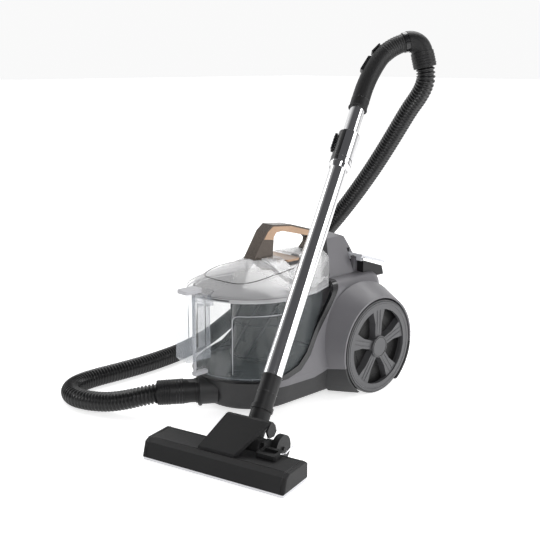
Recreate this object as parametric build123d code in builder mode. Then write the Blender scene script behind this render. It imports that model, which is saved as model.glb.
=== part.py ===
from build123d import *
import math
import os

# Canister vacuum cleaner: canister with a clear dust bin, hose, telescopic wand and floor head.
# Millimetres, +Z up, the canister's front towards -Y, the floor at z = 0.
# The origin is on the floor, on the canister's mid-plane, under the middle of its body.

os.makedirs("parts", exist_ok=True)

# ---- driving dimensions: canister
FIT = 0.3  # gap between pieces that are screwed or clipped together
WALL = 3.0
AXLE_Y = 110.0
WELL_X = 108.0  # inner wall of the wheel well
WELL_R = 103.5
ARCH_R = 107.5
ARCH_FLARE_R = 131.0
ARCH_OUT = 152.0

BODY_HALF = 120.0
BODY_REAR = 226.0
BASE_Z = 14.0
SEAM_Z = 76.0
DECK_Z = 240.0
TOWER_Z = 323.0

BIN_R = 115.0
BIN_Y = -115.0
BIN_BOTTOM = 79.0
BIN_TOP = 243.0
BIN_GAP = 1.2

# ---- driving dimensions: wand, hose and floor head
WAND_FOOT = Vector(202, -242, 146)
TUBE_R = 17.5
INNER_R = 15.25
TUBE_WALL = 0.9
HOSE_R = 20.0
HOSE_BORE_R = 17.0

HEAD_YAW = 15.0


def save(piece, label):
    """Labels one finished piece and writes it as its own file."""
    piece.part.label = label
    export_step(piece.part, f"parts/{label}.step")


# ================================================================ canister body
def body_plan(z, inset=0.0):
    """The body's outline seen from above: a round nose, straight sides and a rounded tail."""
    with BuildSketch(Plane.XY.offset(z), mode=Mode.PRIVATE) as plan:
        with BuildLine():
            nose = ThreePointArc((-BODY_HALF, BIN_Y), (0, BIN_Y - BODY_HALF), (BODY_HALF, BIN_Y))
            Polyline(nose @ 1, (BODY_HALF, 70), (110, BODY_REAR), (-110, BODY_REAR), (-BODY_HALF, 70),
                     nose @ 0)
        make_face()
        fillet(plan.vertices().group_by(Axis.Y)[-1], 62)
        if inset:
            offset(amount=-inset)
    return plan.sketch


def bin_plan(z, grow=0.0):
    """The dust bin's outline seen from above: round in front, narrowing towards the tower."""
    with BuildSketch(Plane.XY.offset(z), mode=Mode.PRIVATE) as plan:
        with BuildLine():
            nose = ThreePointArc((-BIN_R, BIN_Y), (0, BIN_Y - BIN_R), (BIN_R, BIN_Y))
            Polyline(nose @ 1, (108, -50), (88, 4), (48, 48), (-48, 48), (-88, 4), (-108, -50), nose @ 0)
        make_face()
        fillet(plan.vertices().group_by(Axis.Y)[-1], 20)
        if grow:
            offset(amount=grow)
    return plan.sketch


def side_prism(points, half=400.0, near=None):
    """A prism across X with a (y, z) outline: both ways by `half`, or from x = near[0] to near[1]."""
    start = -half if near is None else near[0]
    reach = 2 * half if near is None else near[1] - near[0]
    with BuildPart(mode=Mode.PRIVATE) as prism:
        with BuildSketch(Plane.YZ.offset(start)):
            with BuildLine():
                Polyline(*points, close=True)
            make_face()
        extrude(amount=reach)
    return prism.part


def block(x, y, z):
    """A box from its limits along each axis."""
    with BuildPart(mode=Mode.PRIVATE) as box:
        with Locations(((x[0] + x[1]) / 2, (y[0] + y[1]) / 2, (z[0] + z[1]) / 2)):
            Box(x[1] - x[0], y[1] - y[0], z[1] - z[0])
    return box.part


def rod(base, direction, radius, length, bore=0.0):
    """A round bar or tube from a base point along a direction."""
    with BuildPart(mode=Mode.PRIVATE) as bar:
        with BuildSketch(Plane(origin=base, z_dir=direction)):
            Circle(radius)
            if bore:
                Circle(bore, mode=Mode.SUBTRACT)
        extrude(amount=length)
    return bar.part


SEAM_LINE = [(-300, 77), (-172, 77), (-142, 62), (-45, 60), (12, 76), (300, 96)]
RIM_LINE = [(-300, 77.3), (-176, 77.3), (-130, 88), (-93, 98), (-67, 118), (-38, 156), (12, 207), (50, 249),
            (66, 298), (73, 330)]
RIM_BACK = [(-300, 77.3), (-140, 77.3), (-126, 78), (-88, 87), (-58, 110), (-29, 149), (21, 200), (61, 245),
            (77, 296), (84, 330)]

# outer envelope: tapered body, wheel arches and the tower behind the bin
with BuildPart() as body_hull:
    with BuildSketch(Plane.XY.offset(SEAM_Z)):
        add(body_plan(SEAM_Z))
    extrude(amount=DECK_Z - SEAM_Z, taper=9)
    fillet(body_hull.faces().sort_by(Axis.Z)[-1].edges(), 30)
    with BuildSketch(Plane.XY.offset(SEAM_Z)):
        add(body_plan(SEAM_Z))
    extrude(amount=BASE_Z - SEAM_Z, taper=20)
    fillet(body_hull.faces().sort_by(Axis.Z)[0].edges(), 12)
    for side in (-1, 1):
        with Locations(Location((side * (WELL_X - 8), AXLE_Y, 100), (0, side * 90, 0))):
            Cone(ARCH_FLARE_R, ARCH_R, ARCH_OUT - WELL_X + 8, align=(Align.CENTER, Align.CENTER, Align.MIN))
    with Locations((0, 0, -50)):
        Box(600, 800, 100 + 2 * BASE_Z, mode=Mode.SUBTRACT)
    with Locations((0, 280, 25)):
        Box(400, 100, 80, mode=Mode.SUBTRACT)

with BuildPart() as tower_hull:
    with BuildSketch(Plane.XZ.offset(-220)):
        with BuildLine():
            Polyline((-60, 225), (-54, 243), (-36, 285), (-24, 316), (24, 316), (36, 285), (54, 243), (60, 225),
                     close=True)
        make_face()
    extrude(amount=200)
    with BuildSketch(Plane.XZ.offset(-220)):
        with BuildLine():
            Spline((-24, 315.8), (0, TOWER_Z), (24, 315.8))
            Line((24, 315.8), (-24, 315.8))
        make_face()
    extrude(amount=200)
    with BuildSketch(Plane.YZ.offset(-200)):
        with BuildLine():
            Polyline((50, 225), (57, 243), (66, 298), (72, 330), (110, 326), (142, 312), (159, 290), (190, 245),
                     (206, 225), close=True)
        make_face()
    extrude(amount=400, mode=Mode.INTERSECT)

with BuildPart() as body_core:
    with BuildSketch(Plane.XY.offset(SEAM_Z)):
        add(body_plan(SEAM_Z, WALL))
    extrude(amount=DECK_Z - SEAM_Z - 5, taper=11)
    fillet(body_core.faces().sort_by(Axis.Z)[-1].edges(), 24)
    with BuildSketch(Plane.XY.offset(SEAM_Z)):
        add(body_plan(SEAM_Z, WALL + 2))
    extrude(amount=BASE_Z - SEAM_Z + WALL, taper=20)
    for side in (-1, 1):
        with Locations((side * (WELL_X + 46), AXLE_Y, 130)):
            Box(100, 300, 300, mode=Mode.SUBTRACT)

WELL_LEFT = rod((WELL_X, AXLE_Y, 100), (1, 0, 0), WELL_R, 100)
WELL_RIGHT = rod((-WELL_X, AXLE_Y, 100), (-1, 0, 0), WELL_R, 100)

with BuildPart() as bin_pocket:
    with BuildSketch(Plane.XY.offset(SEAM_Z + 1.3)):
        add(bin_plan(SEAM_Z + 1.3, BIN_GAP))
    extrude(amount=300)

PORT = Vector(0, -215, 48)
PORT_DIR = Vector(-0.545, -0.838, 0)


def port_at(distance):
    """A point on the hose port's axis, so far out from its root."""
    return PORT + PORT_DIR * distance


BELOW_SEAM = side_prism([(y, z - FIT / 2) for y, z in SEAM_LINE] + [(300, -50), (-300, -50)])
ABOVE_SEAM = side_prism([(y, z + FIT / 2) for y, z in SEAM_LINE] + [(300, 400), (-300, 400)])
REAR_WINDOW = block((-52.3, 52.3), (190, 260), (119.7, 190.3))

with BuildPart() as bin_floor:
    with BuildSketch(Plane.XY.offset(73.3)):
        add(bin_plan(73.3, -1.8))
    extrude(amount=3)
    add(block((-120, 120), (-240, -172.5), (73.3, 76.3)))
    add(block((-103, 103), (20, 46), (73.3, 76.3)))
    add(block((-103, 103), (40, 44), (16, 76.3)))
    add(body_hull.part, mode=Mode.INTERSECT)
    for near in ((103.8, 140), (-140, -103.8)):
        add(block(near, (-60, 300), (10, 90)), mode=Mode.SUBTRACT)
BIN_FLOOR = bin_floor.part

with BuildPart() as base_tray:
    add(body_hull.part)
    add(body_core.part, mode=Mode.SUBTRACT)
    add(rod((0, -128, BASE_Z), (0, 0, 1), 37, 28))
    add(rod((0, -128, BASE_Z), (0, 0, 1), 9, 42))
    add(BELOW_SEAM, mode=Mode.INTERSECT)
    add(BIN_FLOOR)
    add(rod((0, 146, 16), (0, 0, 1), 6, 70))
    add(rod((0, 146, 16), (0, 0, 1), 16, 9))
    add(WELL_LEFT, mode=Mode.SUBTRACT)
    add(WELL_RIGHT, mode=Mode.SUBTRACT)
    add(rod((0, -128, BASE_Z - 1), (0, 0, 1), 34, 26), mode=Mode.SUBTRACT)
    add(rod((0, -128, BASE_Z), (0, 0, 1), 4.05, 43), mode=Mode.SUBTRACT)
    add(rod(port_at(-6), PORT_DIR, 28.2, 60), mode=Mode.SUBTRACT)
    add(rod(port_at(25.8), PORT_DIR, 31.3, 40), mode=Mode.SUBTRACT)
    add(rod(port_at(-40), PORT_DIR, 17.2, 40), mode=Mode.SUBTRACT)
    add(rod((22.9, -179.8, 60), (0, 0, 1), 17.2, 30), mode=Mode.SUBTRACT)
    add(rod((60, 200, 50), (0, 1, 0), 9.1, 40), mode=Mode.SUBTRACT)

with BuildPart() as bulkhead:
    add(side_prism([(49.5, 78), (53, 78), (53, 243), (49.5, 243)], 104))
    add(body_hull.part, mode=Mode.INTERSECT)
BULKHEAD = bulkhead.part

with BuildPart() as upper_hull:
    add(body_hull.part)
    add(body_core.part, mode=Mode.SUBTRACT)
    add(BULKHEAD)
    add(ABOVE_SEAM, mode=Mode.INTERSECT)
    add(side_prism([(-300, 300)] + RIM_LINE[:8] + [(50, 300)]), mode=Mode.SUBTRACT)
    add(WELL_LEFT, mode=Mode.SUBTRACT)
    add(WELL_RIGHT, mode=Mode.SUBTRACT)
    add(bin_pocket.part, mode=Mode.SUBTRACT)
    add(REAR_WINDOW, mode=Mode.SUBTRACT)
    add(block((-24, 24), (80, 120), (225, 260)), mode=Mode.SUBTRACT)

BAND = side_prism(RIM_LINE + RIM_BACK[::-1])
BAND_FIT = side_prism(RIM_LINE + [(y + 0.3, z - 0.2) for y, z in RIM_BACK[::-1]])

with BuildPart() as bin_arch_trim:
    add(upper_hull.part)
    add(tower_hull.part)
    add(bin_pocket.part, mode=Mode.SUBTRACT)
    add(BAND, mode=Mode.INTERSECT)
    add(rod((0, 30, 276), (0, 1, 0), 13, 70), mode=Mode.SUBTRACT)

with BuildPart() as motor_housing:
    add(upper_hull.part)
    add(BAND_FIT, mode=Mode.SUBTRACT)

with BuildPart() as pedal_pods:
    for side in (-1, 1):
        near = (28, 70) if side > 0 else (-70, -28)
        add(side_prism([(150, 225), (150, 266), (212, 245.5), (218, 225)], near=near))
        near = (45, 53) if side > 0 else (-53, -45)
        add(side_prism([(138, 225), (138, 268), (142, 272.4), (147, 272.4), (150, 268), (156, 225)], near=near))
    add(body_hull.part, mode=Mode.SUBTRACT)
    for side in (-1, 1):
        near = (25, 73) if side > 0 else (-73, -25)
        add(rod((near[0], 144.5, 270), (1, 0, 0), 2.0, 48))

with BuildPart() as saddle_plate:
    add(block((-30, 30), (150, 212), (225, 247)))
    add(body_hull.part, mode=Mode.SUBTRACT)

with BuildPart() as spine_cover:
    add(tower_hull.part)
    add(block((-31, 31), (58, 160), (200, 286)), mode=Mode.SUBTRACT)
    add(block((-19, 19), (58, 120), (280, 316)), mode=Mode.SUBTRACT)
    add(body_hull.part, mode=Mode.SUBTRACT)
    add(BAND_FIT, mode=Mode.SUBTRACT)
    add(side_prism([(0, 200)] + [(y + 0.3, z) for y, z in RIM_BACK[6:]] + [(0, 330)]), mode=Mode.SUBTRACT)
    for near in ((20.5, 100), (-100, -20.5)):
        add(block(near, (136, 230), (200, 330)), mode=Mode.SUBTRACT)
    add(saddle_plate.part)
    add(pedal_pods.part)

save(base_tray, "base_tray")
save(bin_arch_trim, "bin_arch_trim")
save(motor_housing, "motor_housing")
save(spine_cover, "spine_cover")

# ---- rear exhaust, filter, motor, reel and electrics inside the housing
with BuildPart() as exhaust_grille:
    add(block((-52, 52), (222.3, 226.3), (120, 190)))
    add(block((-50, 50), (217, 222.3), (122, 188)))
    for k in range(9):
        add(block((-44 + k * 10, -38 + k * 10), (210, 230), (128, 182)), mode=Mode.SUBTRACT)

with BuildPart() as hepa_filter:
    add(block((-50, 50), (196, 216.5), (122, 188)))
    for k in range(12):
        add(block((-45.5 + k * 8, -42.5 + k * 8), (190, 204), (127, 183)), mode=Mode.SUBTRACT)

with BuildPart() as motor:
    add(rod((0, 106, 172), (0, 1, 0), 46, 62))
    add(rod((0, 168, 172), (0, 1, 0), 30, 24))
    add(rod((0, 84, 172), (0, 1, 0), 4, 22))
    add(rod((0, 103, 172), (0, 1, 0), 52, 3))

with BuildPart() as fan_housing:
    add(rod((0, 66, 172), (0, 1, 0), 52, 34, 49))
    add(rod((0, 66, 172), (0, 1, 0), 52, 3, 20))
    with Locations((0, 62, 172)):
        Box(70, 10, 110)
    add(rod((0, 50, 172), (0, 1, 0), 20, 30), mode=Mode.SUBTRACT)

with BuildPart() as impeller:
    add(rod((0, 74, 172), (0, 1, 0), 44, 2, 19))
    add(rod((0, 90, 172), (0, 1, 0), 44, 2))
    add(rod((0, 76, 172), (0, 1, 0), 9, 14))
    for k in range(8):
        with BuildSketch(Plane(origin=(0, 76, 172), x_dir=(math.cos(k * math.pi / 4), 0, math.sin(k * math.pi / 4)),
                               z_dir=(0, 1, 0))):
            with Locations((25, 0)):
                Rectangle(36, 1.6, rotation=14)
        extrude(amount=14)
    add(rod((0, 80, 172), (0, 1, 0), 4.05, 20), mode=Mode.SUBTRACT)

with BuildPart() as cord_reel:
    add(rod((0, 146, 30), (0, 0, 1), 55, 2.5, 6.06))
    add(rod((0, 146, 74), (0, 0, 1), 55, 2.5, 6.06))
    add(rod((0, 146, 30), (0, 0, 1), 14, 46, 6.06))
    add(rod((0, 146, 32), (0, 0, 1), 50, 42.5, 13))

with BuildPart() as cord_outlet:
    add(rod((60, 219, 50), (0, 1, 0), 9, 9, 4.6))
    add(rod((60, 226.4, 50), (0, 1, 0), 12, 2.4, 4.6))

with BuildPart() as switch_module:
    add(block((56, 80), (150, 174), (186, 206)))
    add(block((62, 74), (156, 168), (206, 212)))

with BuildPart() as control_board:
    add(block((-80, -60), (100, 180), (100, 101.6)))
    add(block((-78, -64), (106, 126), (101.6, 116)))
    add(block((-76, -66), (140, 150), (101.6, 111)))

with BuildPart() as outlet_duct:
    add(block((-17, 17), (86, 116), (235, 314)))
    add(block((-15, 15), (88, 114), (230, 320)), mode=Mode.SUBTRACT)

save(exhaust_grille, "exhaust_grille")
save(hepa_filter, "hepa_filter")
save(motor, "motor")
save(fan_housing, "fan_housing")
save(impeller, "impeller")
save(cord_reel, "cord_reel")
save(cord_outlet, "cord_outlet")
save(switch_module, "switch_module")
save(control_board, "control_board")
save(outlet_duct, "outlet_duct")

# ---- pedals on the tail: power on the right, cord rewind on the left
PEDAL_SIDE = [(139, 278.6), (141, 281), (215, 257.5), (216.5, 254), (214, 252.2), (150, 272.5), (150, 274), (139, 276)]
with BuildPart() as power_pedal:
    add(side_prism(PEDAL_SIDE, near=(22, 75)))
    add(side_prism([(140.5, 266), (140.5, 277), (148.5, 277), (148.5, 266)], near=(27, 40)))
    add(side_prism([(140.5, 266), (140.5, 277), (148.5, 277), (148.5, 266)], near=(58, 71)))
    add(rod((20, 144.5, 270), (1, 0, 0), 2.06, 60), mode=Mode.SUBTRACT)
with BuildPart() as rewind_pedal:
    add(mirror(power_pedal.part, about=Plane.YZ))
save(power_pedal, "power_pedal")
save(rewind_pedal, "rewind_pedal")

# ---- drive wheels on their axle pins, and the swivelling caster under the nose
with BuildPart() as axle_pins:
    for side in (-1, 1):
        add(rod((side * 108, AXLE_Y, 100), (side, 0, 0), 8, 38))
        add(rod((side * 146, AXLE_Y, 100), (side, 0, 0), 11, 3))
        add(rod((side * 108, AXLE_Y, 100), (side, 0, 0), 16, 3))

with BuildPart() as wheel_left:
    add(rod((114, AXLE_Y, 100), (1, 0, 0), 96, 39, 88))
    add(rod((146, AXLE_Y, 100), (1, 0, 0), 96, 7, 80))
    add(rod((128, AXLE_Y, 100), (1, 0, 0), 89, 5, 19))
    add(rod((113, AXLE_Y, 100), (1, 0, 0), 20, 39, 8.05))
    for k in range(5):
        turn = math.radians(90 + 72 * k)
        spoke = Plane(origin=(131, AXLE_Y, 100), x_dir=(0, math.cos(turn), math.sin(turn)), z_dir=(1, 0, 0))
        with BuildSketch(spoke):
            with BuildLine():
                Polyline((17, -9), (50, -10), (86, -21), (86, 21), (50, 10), (17, 9), close=True)
            make_face()
        extrude(amount=19)
    add(rod((146, AXLE_Y, 100), (1, 0, 0), 13, 6), mode=Mode.SUBTRACT)
    add(rod((151.5, AXLE_Y, 100), (1, 0, 0), 23, 3.5))
with BuildPart() as tyre_left:
    with BuildSketch(Plane(origin=(0, AXLE_Y, 100), x_dir=(1, 0, 0), z_dir=(0, -1, 0))):
        with Locations((133.5, 98)):
            RectangleRounded(37, 4, 1.4)
    revolve(axis=Axis((0, AXLE_Y, 100), (1, 0, 0)))
with BuildPart() as wheel_right:
    add(mirror(wheel_left.part, about=Plane.YZ))
with BuildPart() as tyre_right:
    add(mirror(tyre_left.part, about=Plane.YZ))

with BuildPart() as caster_fork:
    add(rod((0, -128, 33), (0, 0, 1), 4, 26))
    add(rod((0, -128, 33), (0, 0, 1), 15, 5))
    add(side_prism([(-143, 36), (-113, 36), (-113, 30), (-122, 9), (-134, 9), (-143, 28)], near=(-13, -10)))
    add(side_prism([(-143, 36), (-113, 36), (-113, 30), (-122, 9), (-134, 9), (-143, 28)], near=(10, 13)))
    add(block((-13, 13), (-143, -113), (32.5, 36)))
    add(rod((-13, -128, 14), (1, 0, 0), 3, 26))
    add(block((-9.9, 9.9), (-145, -111), (17, 32.5)), mode=Mode.SUBTRACT)
with BuildPart() as caster_wheel:
    add(rod((-9, -128, 14), (1, 0, 0), 14, 18, 3.05))
    fillet(caster_wheel.edges().filter_by(GeomType.CIRCLE).sort_by(SortBy.RADIUS)[-2:], 2)

save(axle_pins, "axle_pins")
save(wheel_left, "wheel_left")
save(tyre_left, "tyre_left")
save(wheel_right, "wheel_right")
save(tyre_right, "tyre_right")
save(caster_fork, "caster_fork")
save(caster_wheel, "caster_wheel")

# ---- hose port in the nose, with the duct that rises through the bin's floor
with BuildPart() as hose_inlet:
    add(rod(port_at(-5), PORT_DIR, 28, 33, 23.56))
    add(rod(port_at(26), PORT_DIR, 31, 4, 23.56))

with BuildPart() as inlet_duct:
    with BuildLine() as duct_path:
        FilletPolyline(port_at(-5.2), (22.9, -179.8, 48), (22.9, -179.8, 72.9), radius=20)
    with BuildSketch(Plane(origin=duct_path.line @ 0, z_dir=duct_path.line % 0)):
        Circle(17)
        Circle(15, mode=Mode.SUBTRACT)
    sweep(path=duct_path.line)

with BuildPart() as hose_connector:
    add(rod(port_at(1), PORT_DIR, 23.5, 51, 18))
    add(rod(port_at(31), PORT_DIR, 25.5, 6, 18))
    add(rod(port_at(52), PORT_DIR, 24.2, 8, 18))
    for side in (-1, 1):
        add(block((-60, 20), (-262, -236), (48 + side * 27 - 6, 48 + side * 27 + 6)), mode=Mode.SUBTRACT)

with BuildPart() as lower_cuff:
    with BuildSketch(Plane(origin=port_at(60.2), z_dir=PORT_DIR)):
        Circle(25)
    with BuildSketch(Plane(origin=port_at(112), z_dir=PORT_DIR)):
        Circle(24)
    loft()
    add(rod(port_at(60), PORT_DIR, 17, 60), mode=Mode.SUBTRACT)
    add(rod(port_at(98), PORT_DIR, 22.3, 20), mode=Mode.SUBTRACT)

save(hose_inlet, "hose_inlet")
save(inlet_duct, "inlet_duct")
save(hose_connector, "hose_connector")
save(lower_cuff, "lower_cuff")
# ---- dust bin: clear shell, floor flap, cyclone and front handle
with BuildPart() as bin_shell:
    with BuildSketch(Plane.XY.offset(83.2)):
        add(bin_plan(83.2))
        add(bin_plan(83.2, -2.6), mode=Mode.SUBTRACT)
    extrude(amount=BIN_TOP - 83.2)
    add(block((-3, 3), (-231.5, -227.3), (90, 235)))

with BuildPart() as bin_flap:
    with BuildSketch(Plane.XY.offset(BIN_BOTTOM)):
        add(bin_plan(BIN_BOTTOM))
    extrude(amount=4)
    with BuildSketch(Plane.XY.offset(83)):
        add(bin_plan(83, -3))
    extrude(amount=4)
    with BuildSketch(Plane.XY.offset(85)):
        add(bin_plan(85, -6))
    extrude(amount=6, mode=Mode.SUBTRACT)
    add(rod((22.9, -179.8, 70), (0, 0, 1), 15, 30), mode=Mode.SUBTRACT)

with BuildPart() as cyclone_cone:
    with BuildSketch(Plane.XY.offset(85.2)):
        with Locations((0, -85)):
            Circle(24)
    with BuildSketch(Plane.XY.offset(235.8)):
        with Locations((0, -85)):
            Circle(48)
    loft()
    with BuildSketch(Plane.XY.offset(85.2)):
        with Locations((0, -85)):
            Circle(22)
    with BuildSketch(Plane.XY.offset(235.8)):
        with Locations((0, -85)):
            Circle(46)
    loft(mode=Mode.SUBTRACT)

with BuildPart() as shroud_filter:
    add(rod((0, -85, 96), (0, 0, 1), 60, 141, 57.5))
    add(rod((0, -85, 96), (0, 0, 1), 66, 3, 57.5))
    with BuildSketch(Plane.XY.offset(236)):
        add(bin_plan(236, -2.9))
    extrude(amount=4)
    add(rod((0, -85, 230), (0, 0, 1), 45, 20), mode=Mode.SUBTRACT)
    for k in range(9):
        with Locations(Location((0, -85, 165), (20, 0, 40 * k))):
            with Locations((60, 0, 0)):
                Box(14, 9, 96, mode=Mode.SUBTRACT)

with BuildPart() as front_handle:
    add(side_prism([(-229, 121), (-288, 121), (-297, 132), (-297, 241), (-291, 247), (-247, 247), (-247, 240),
                    (-229, 240)], near=(-12, 12)))
    add(side_prism([(-266, 137), (-266, 228), (-243, 228), (-243, 137)], near=(-30, 30)), mode=Mode.SUBTRACT)
    add(block((-23, -19), (-244, -229), (228, 249)))
    add(block((19, 23), (-244, -229), (228, 249)))
    add(block((-23, 23), (-243, -229), (228, 238)))
    add(rod((-23, -240, 247), (1, 0, 0), 2.5, 46))
    add(rod((0, -262, 90), (0, 0, 1), 3.27, 200), mode=Mode.SUBTRACT)
    with BuildSketch(Plane.XY.offset(70)):
        add(bin_plan(70))
    extrude(amount=173.2, mode=Mode.SUBTRACT)
    add(block((-40, 40), (-231.6, -100), (60, 300)), mode=Mode.SUBTRACT)
    add(block((-9, 9), (-233, -229.9), (130, 236)))
    with BuildSketch(Plane.XY.offset(70)):
        add(bin_plan(70))
    extrude(amount=173.2, mode=Mode.SUBTRACT)
    add(block((-3.1, 3.1), (-231.6, -220), (60, 300)), mode=Mode.SUBTRACT)

with BuildPart() as empty_button:
    add(block((-15, 15), (-292, -250), (256, 263)))
    fillet(empty_button.edges().filter_by(Axis.Z), 6)
    add(rod((0, -262, 88), (0, 0, 1), 3.2, 169))
    add(block((-5, 5), (-265, -233), (88, 95)))

save(bin_shell, "bin_shell")
save(bin_flap, "bin_flap")
save(cyclone_cone, "cyclone_cone")
save(shroud_filter, "shroud_filter")
save(front_handle, "front_handle")
save(empty_button, "empty_button")

# ---- lid with the carrying handle, its seal and the filter it holds
def lid_dome(inset):
    """The solid under the lid's crown: a dome over the bin and a saddle running back to the tower."""
    with BuildPart(mode=Mode.PRIVATE) as crown:
        with BuildSketch(Plane.XZ.offset(115)):
            with BuildLine():
                Spline((0, 299 - inset), (40, 290 - inset), (72, 277 - inset), (105, 262 - inset), (127 - inset, 249))
                Polyline((127 - inset, 249), (127 - inset, 236), (0, 236), (0, 299 - inset))
            make_face()
        revolve(axis=Axis((0, BIN_Y, 0), (0, 0, 1)))
        with BuildSketch(Plane.XZ.offset(98)):
            with BuildLine():
                Polyline((-127 + inset, 236), (-127 + inset, 249), (-100 + inset, 262 - inset), (-60, 283 - inset),
                         (-30, 298 - inset), (30, 298 - inset), (60, 283 - inset), (100 - inset, 262 - inset),
                         (127 - inset, 249), (127 - inset, 236), close=True)
            make_face()
        extrude(amount=-163)
        add(side_prism([(-240, 200), (70, 200), (70, 301 - inset), (-15, 301 - inset), (-60, 306 - inset),
                        (-240, 306 - inset)]), mode=Mode.INTERSECT)
    return crown.part


LID_OUTER = lid_dome(0)
LID_INNER = lid_dome(3)
REAR_OF_LID = side_prism([(y - 1.5, z) for y, z in RIM_LINE[5:]] + [(300, 330), (300, 207)])

with BuildPart() as lid_solid:
    with BuildSketch(Plane.XY.offset(238)):
        add(bin_plan(238, 12))
    extrude(amount=70)
    add(LID_OUTER, mode=Mode.INTERSECT)
    add(REAR_OF_LID, mode=Mode.SUBTRACT)

with BuildPart() as lid_space:
    with BuildSketch(Plane.XY.offset(244.9)):
        add(bin_plan(244.9, -4))
    extrude(amount=70)
    add(LID_INNER, mode=Mode.INTERSECT)
    add(side_prism([(y - 5, z) for y, z in RIM_LINE[5:]] + [(300, 330), (300, 207)]), mode=Mode.SUBTRACT)

with BuildPart() as bin_lid:
    add(lid_solid.part)
    add(lid_space.part, mode=Mode.SUBTRACT)
    with BuildSketch(Plane.XY.offset(230)):
        add(bin_plan(230, 1.5))
    extrude(amount=15, mode=Mode.SUBTRACT)
    for x, y in ((0, -125), (26, -72), (-26, -72)):
        add(rod((x, y, 262), (0, 0, 1), 4, 33.5))
    add(block((-80, 80), (-58, -12), (284, 320)), mode=Mode.SUBTRACT)
    add(block((-62, 62), (-250, -200), (230, 244)), mode=Mode.SUBTRACT)
    add(block((-23.6, -18.4), (-260, -229), (235, 256)), mode=Mode.SUBTRACT)
    add(block((18.4, 23.6), (-260, -229), (235, 256)), mode=Mode.SUBTRACT)
    add(rod((-18.4, -240, 247), (1, 0, 0), 4.6, 36.8))
    add(rod((-30, -240, 247), (1, 0, 0), 2.56, 60), mode=Mode.SUBTRACT)
    add(rod((0, -35, 270), (0, 0, 1), 4.06, 40), mode=Mode.SUBTRACT)
    add(rod((0, 30, 276), (0, 1, 0), 13, 70), mode=Mode.SUBTRACT)

with BuildPart() as lid_seal:
    with BuildSketch(Plane.XY.offset(243.05)):
        add(bin_plan(243.05, -0.2))
        add(bin_plan(243.05, -3.8), mode=Mode.SUBTRACT)
    extrude(amount=1.95)

with BuildPart() as premotor_filter:
    add(rod((0, -85, 246), (0, 0, 1), 58, 16))

with BuildPart() as carry_handle:
    with BuildSketch(Plane.YZ.offset(-15)):
        with BuildLine():
            Polyline((-119, 285), (-119, 299), (-84, 351), (-67, 363), (-16, 358), (51, 339), (60, 327), (59, 300),
                     (56, 285), close=True)
        make_face()
        with BuildLine():
            Polyline((-68, 280), (-64, 338), (-57, 346), (-40, 347), (43, 326), (50, 319), (49, 311), (38, 300),
                     (36, 280), close=True)
        make_face(mode=Mode.SUBTRACT)
    extrude(amount=30)
    add(lid_solid.part, mode=Mode.SUBTRACT)
    add(REAR_OF_LID, mode=Mode.SUBTRACT)

save(bin_lid, "bin_lid")
save(lid_seal, "lid_seal")
save(premotor_filter, "premotor_filter")

with BuildPart() as handle_inlay:
    with BuildSketch(Plane.YZ.offset(-11)):
        with BuildLine():
            Polyline((-91, 340.5), (-84, 351), (-67, 363), (-16, 358), (51, 339), (50, 335.2), (-16, 354),
                     (-66, 359), (-81, 348.2), (-88, 337.9), close=True)
        make_face()
    extrude(amount=22)
    add(carry_handle.part, mode=Mode.INTERSECT)

with BuildPart() as carry_bow:
    add(carry_handle.part)
    add(handle_inlay.part, mode=Mode.SUBTRACT)

with BuildPart() as release_button:
    add(block((-44, 44), (-55, -15), (288.6, 293)))
    fillet(release_button.edges().filter_by(Axis.Z), 8)
    add(rod((0, -35, 276), (0, 0, 1), 4, 14))

save(carry_bow, "carry_handle")
save(handle_inlay, "handle_inlay")
save(release_button, "release_button")

# ---- telescopic wand
W = Vector(-0.197, 0.5969, 0.7778).normalized()
B = Vector(0.7832, 0.573, -0.2414).normalized()


def wand_at(s):
    """A point on the wand's axis, so far up from its foot."""
    return WAND_FOOT + W * s


def wand_tube(s0, s1, radius, bore):
    """A length of tube on the wand's axis."""
    return rod(wand_at(s0), W, radius, s1 - s0, bore)


def wand_block(x, y, s):
    """A box in the wand's own frame."""
    return block(x, y, s).moved(Plane(origin=WAND_FOOT, x_dir=B, z_dir=W).location)


with BuildPart() as outer_tube:
    add(wand_tube(-12, 499, TUBE_R, TUBE_R - TUBE_WALL))
with BuildPart() as tube_sleeve:
    with BuildSketch(Plane(origin=wand_at(424), z_dir=W)):
        Circle(18.6)
    with BuildSketch(Plane(origin=wand_at(434), z_dir=W)):
        Circle(21)
    loft()
    add(wand_tube(434, 507, 21, 0))
    add(wand_tube(420, 499, TUBE_R + 0.05, 0), mode=Mode.SUBTRACT)
    add(wand_tube(498, 510, 15.32, 0), mode=Mode.SUBTRACT)
with BuildPart() as tube_latch:
    add(wand_block((-27, -21.4), (-7, 7), (462, 500)))
    fillet(tube_latch.edges(), 1.5)
with BuildPart() as neck_pipe:
    add(wand_tube(-70, -12, 18, 15.2))
    add(wand_tube(-78, -70, 20.5, 15.2))
    add(wand_tube(-12, 30, 16.55, 15.2))
with BuildPart() as inner_tube:
    add(wand_tube(60, 600, INNER_R, INNER_R - TUBE_WALL))

save(outer_tube, "outer_tube")
save(tube_sleeve, "tube_sleeve")
save(tube_latch, "tube_latch")
save(neck_pipe, "neck_pipe")
save(inner_tube, "inner_tube")

# ---- bent handle: a slight bow, then a quick turn forward
BOW_R = 350.0
CROOK_R = 104.9
BOW_TURN = math.radians(14.5)
CROOK_TURN = math.radians(43.2)


def arc_point(start, radius, turn0, turn1):
    """The end of an arc in the handle's plane, turning from the wand's axis towards B."""
    along = radius * (math.sin(turn1) - math.sin(turn0))
    across = radius * (math.cos(turn1) - math.cos(turn0))
    return start + W * along - B * across


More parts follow.
